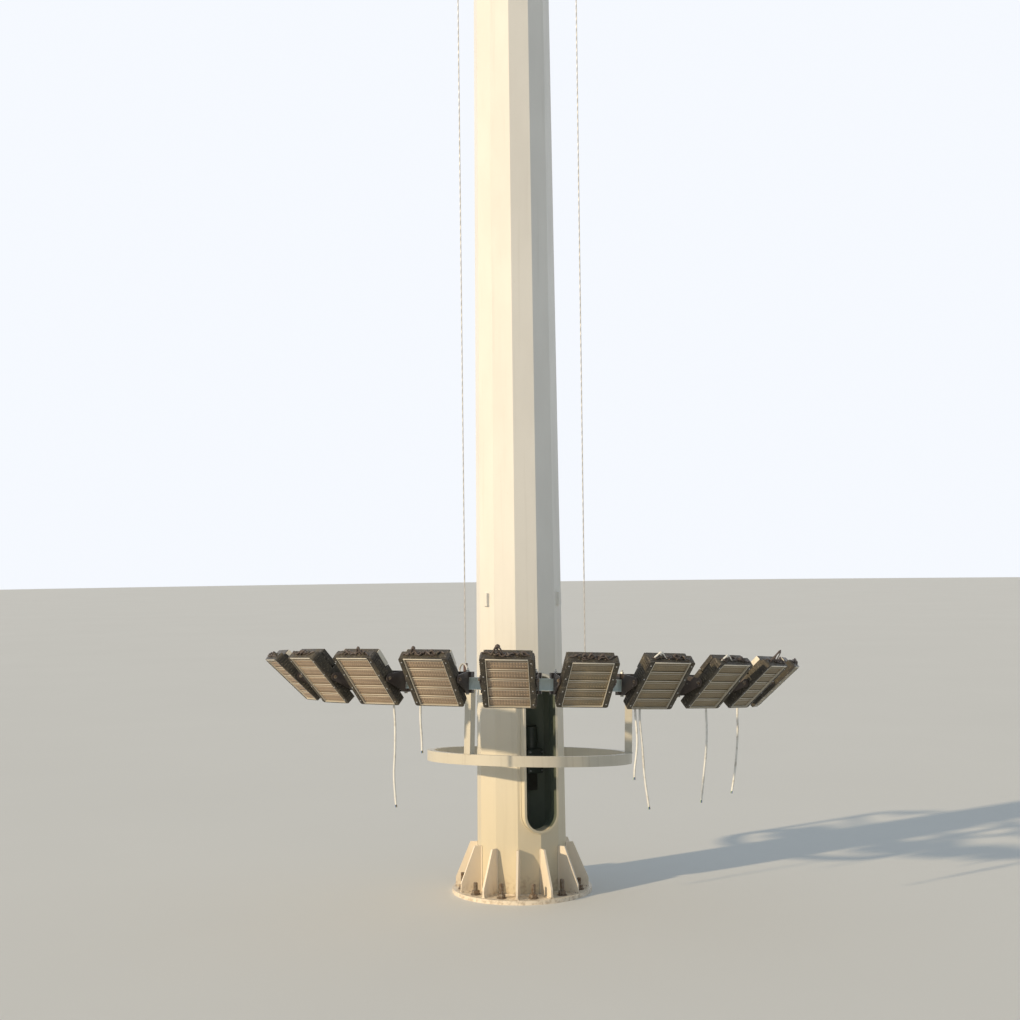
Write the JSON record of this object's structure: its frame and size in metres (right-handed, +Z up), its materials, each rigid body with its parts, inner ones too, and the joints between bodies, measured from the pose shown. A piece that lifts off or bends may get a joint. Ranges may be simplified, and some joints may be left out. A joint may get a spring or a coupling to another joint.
{
  "type": "high mast floodlight tower",
  "caption": "Tapered twelve-sided high mast with a lowered lamp ring that is hoisted by ropes and carries tilting LED floodlights on a half-round beam.",
  "frame": {"origin": "centre of the base flange's underside", "axes": "+Z up along the shaft; the lamp beam curves round the -Y side, which faces the picture's camera"},
  "size_m": [3.5867, 2.5312, 26.3229],
  "materials": {
    "white_paint": "white paint over zinc, weathered",
    "beam_grey": "dull zinc grey",
    "galvanised": "dull galvanised",
    "winch_steel": "greased steel",
    "winch_paint": "red-brown machine paint",
    "red_oxide": "dark red-brown primer",
    "bracket_black": "black powder coat",
    "lamp_black": "black powder coat, dusty",
    "light_modules": "frosted lenses on aluminium",
    "rope_steel": "stranded stainless rope",
    "lead_white": "white cable sheath"
  },
  "bodies": {
    "mast": {"base_flange": "white_paint", "base_gussets": "white_paint", "shaft_lower": "white_paint", "shaft_middle": "white_paint", "shaft_upper": "white_paint", "door_frame": "white_paint", "shaft_lugs": "white_paint", "winch_plate": "winch_steel", "winch_drum": "winch_steel", "winch_gearbox": "winch_paint", "main_rope": "rope_steel", "head_frame": "galvanised", "head_sheaves": "galvanised", "head_cover": "white_paint", "lightning_rod": "galvanised", "hoist_ropes": "rope_steel"},
    "lamp_ring": {"lower_cage_ring": "white_paint", "upper_cage_ring": "white_paint", "cage_posts": "white_paint", "ring_arms": "white_paint", "lamp_beam": "beam_grey", "rope_anchors": "red_oxide", "lamp_brackets": "bracket_black", "lead_clips": "bracket_black", "lead_a": "lead_white", "lead_b": "lead_white", "lead_c": "lead_white", "lead_d": "lead_white", "lead_e": "lead_white", "lead_f": "lead_white"},
    "lamp_01": {"lamp_01_housing": "lamp_black", "lamp_01_modules": "light_modules"},
    "lamp_02": {"lamp_02_housing": "lamp_black", "lamp_02_modules": "light_modules"},
    "lamp_03": {"lamp_03_housing": "lamp_black", "lamp_03_modules": "light_modules"},
    "lamp_04": {"lamp_04_housing": "lamp_black", "lamp_04_modules": "light_modules"},
    "lamp_05": {"lamp_05_housing": "lamp_black", "lamp_05_modules": "light_modules"},
    "lamp_06": {"lamp_06_housing": "lamp_black", "lamp_06_modules": "light_modules"},
    "lamp_07": {"lamp_07_housing": "lamp_black", "lamp_07_modules": "light_modules"},
    "lamp_08": {"lamp_08_housing": "lamp_black", "lamp_08_modules": "light_modules"},
    "lamp_09": {"lamp_09_housing": "lamp_black", "lamp_09_modules": "light_modules"},
    "lamp_10": {"lamp_10_housing": "lamp_black", "lamp_10_modules": "light_modules"}
  },
  "joints": [
    {"name": "ring_hoist", "type": "slide", "parent": "mast", "child": "lamp_ring", "axis": [0, 0, 1], "range_m": [0, 23.1], "deforming": ["hoist_ropes"]},
    {"name": "lamp_01_tilt", "type": "hinge", "parent": "lamp_ring", "child": "lamp_01", "pos_m": [-1.48195, -0.58747, 1.54606], "axis": [-0.3643, 0.9293, -0.0609], "range_deg": [0, 40]},
    {"name": "lamp_02_tilt", "type": "hinge", "parent": "lamp_ring", "child": "lamp_02", "pos_m": [-1.25444, -0.99167, 1.57071], "axis": [-0.6059, 0.7943, -0.0442], "range_deg": [0, 40]},
    {"name": "lamp_03_tilt", "type": "hinge", "parent": "lamp_ring", "child": "lamp_03", "pos_m": [-0.92451, -1.31824, 1.58671], "axis": [-0.801, 0.5982, -0.0241], "range_deg": [0, 40]},
    {"name": "lamp_04_tilt", "type": "hinge", "parent": "lamp_ring", "child": "lamp_04", "pos_m": [-0.51754, -1.54204, 1.59284], "axis": [-0.9344, 0.3561, -0.0021], "range_deg": [0, 40]},
    {"name": "lamp_05_tilt", "type": "hinge", "parent": "lamp_ring", "child": "lamp_05", "pos_m": [-0.06482, -1.64589, 1.58861], "axis": [-0.996, 0.0867, 0.0201], "range_deg": [0, 40]},
    {"name": "lamp_06_tilt", "type": "hinge", "parent": "lamp_ring", "child": "lamp_06", "pos_m": [0.39883, -1.62178, 1.57435], "axis": [-0.981, -0.1895, 0.0407], "range_deg": [0, 40]},
    {"name": "lamp_07_tilt", "type": "hinge", "parent": "lamp_ring", "child": "lamp_07", "pos_m": [0.83775, -1.47158, 1.55117], "axis": [-0.8906, -0.451, 0.0582], "range_deg": [0, 40]},
    {"name": "lamp_08_tilt", "type": "hinge", "parent": "lamp_ring", "child": "lamp_08", "pos_m": [1.2182, -1.20682, 1.52084], "axis": [-0.7317, -0.6779, 0.0712], "range_deg": [0, 40]},
    {"name": "lamp_09_tilt", "type": "hinge", "parent": "lamp_ring", "child": "lamp_09", "pos_m": [1.51091, -0.84788, 1.48569], "axis": [-0.5165, -0.8527, 0.0787], "range_deg": [0, 40]},
    {"name": "lamp_10_tilt", "type": "hinge", "parent": "lamp_ring", "child": "lamp_10", "pos_m": [1.69338, -0.42236, 1.44844], "axis": [-0.2616, -0.9618, 0.0802], "range_deg": [0, 40]}
  ]
}
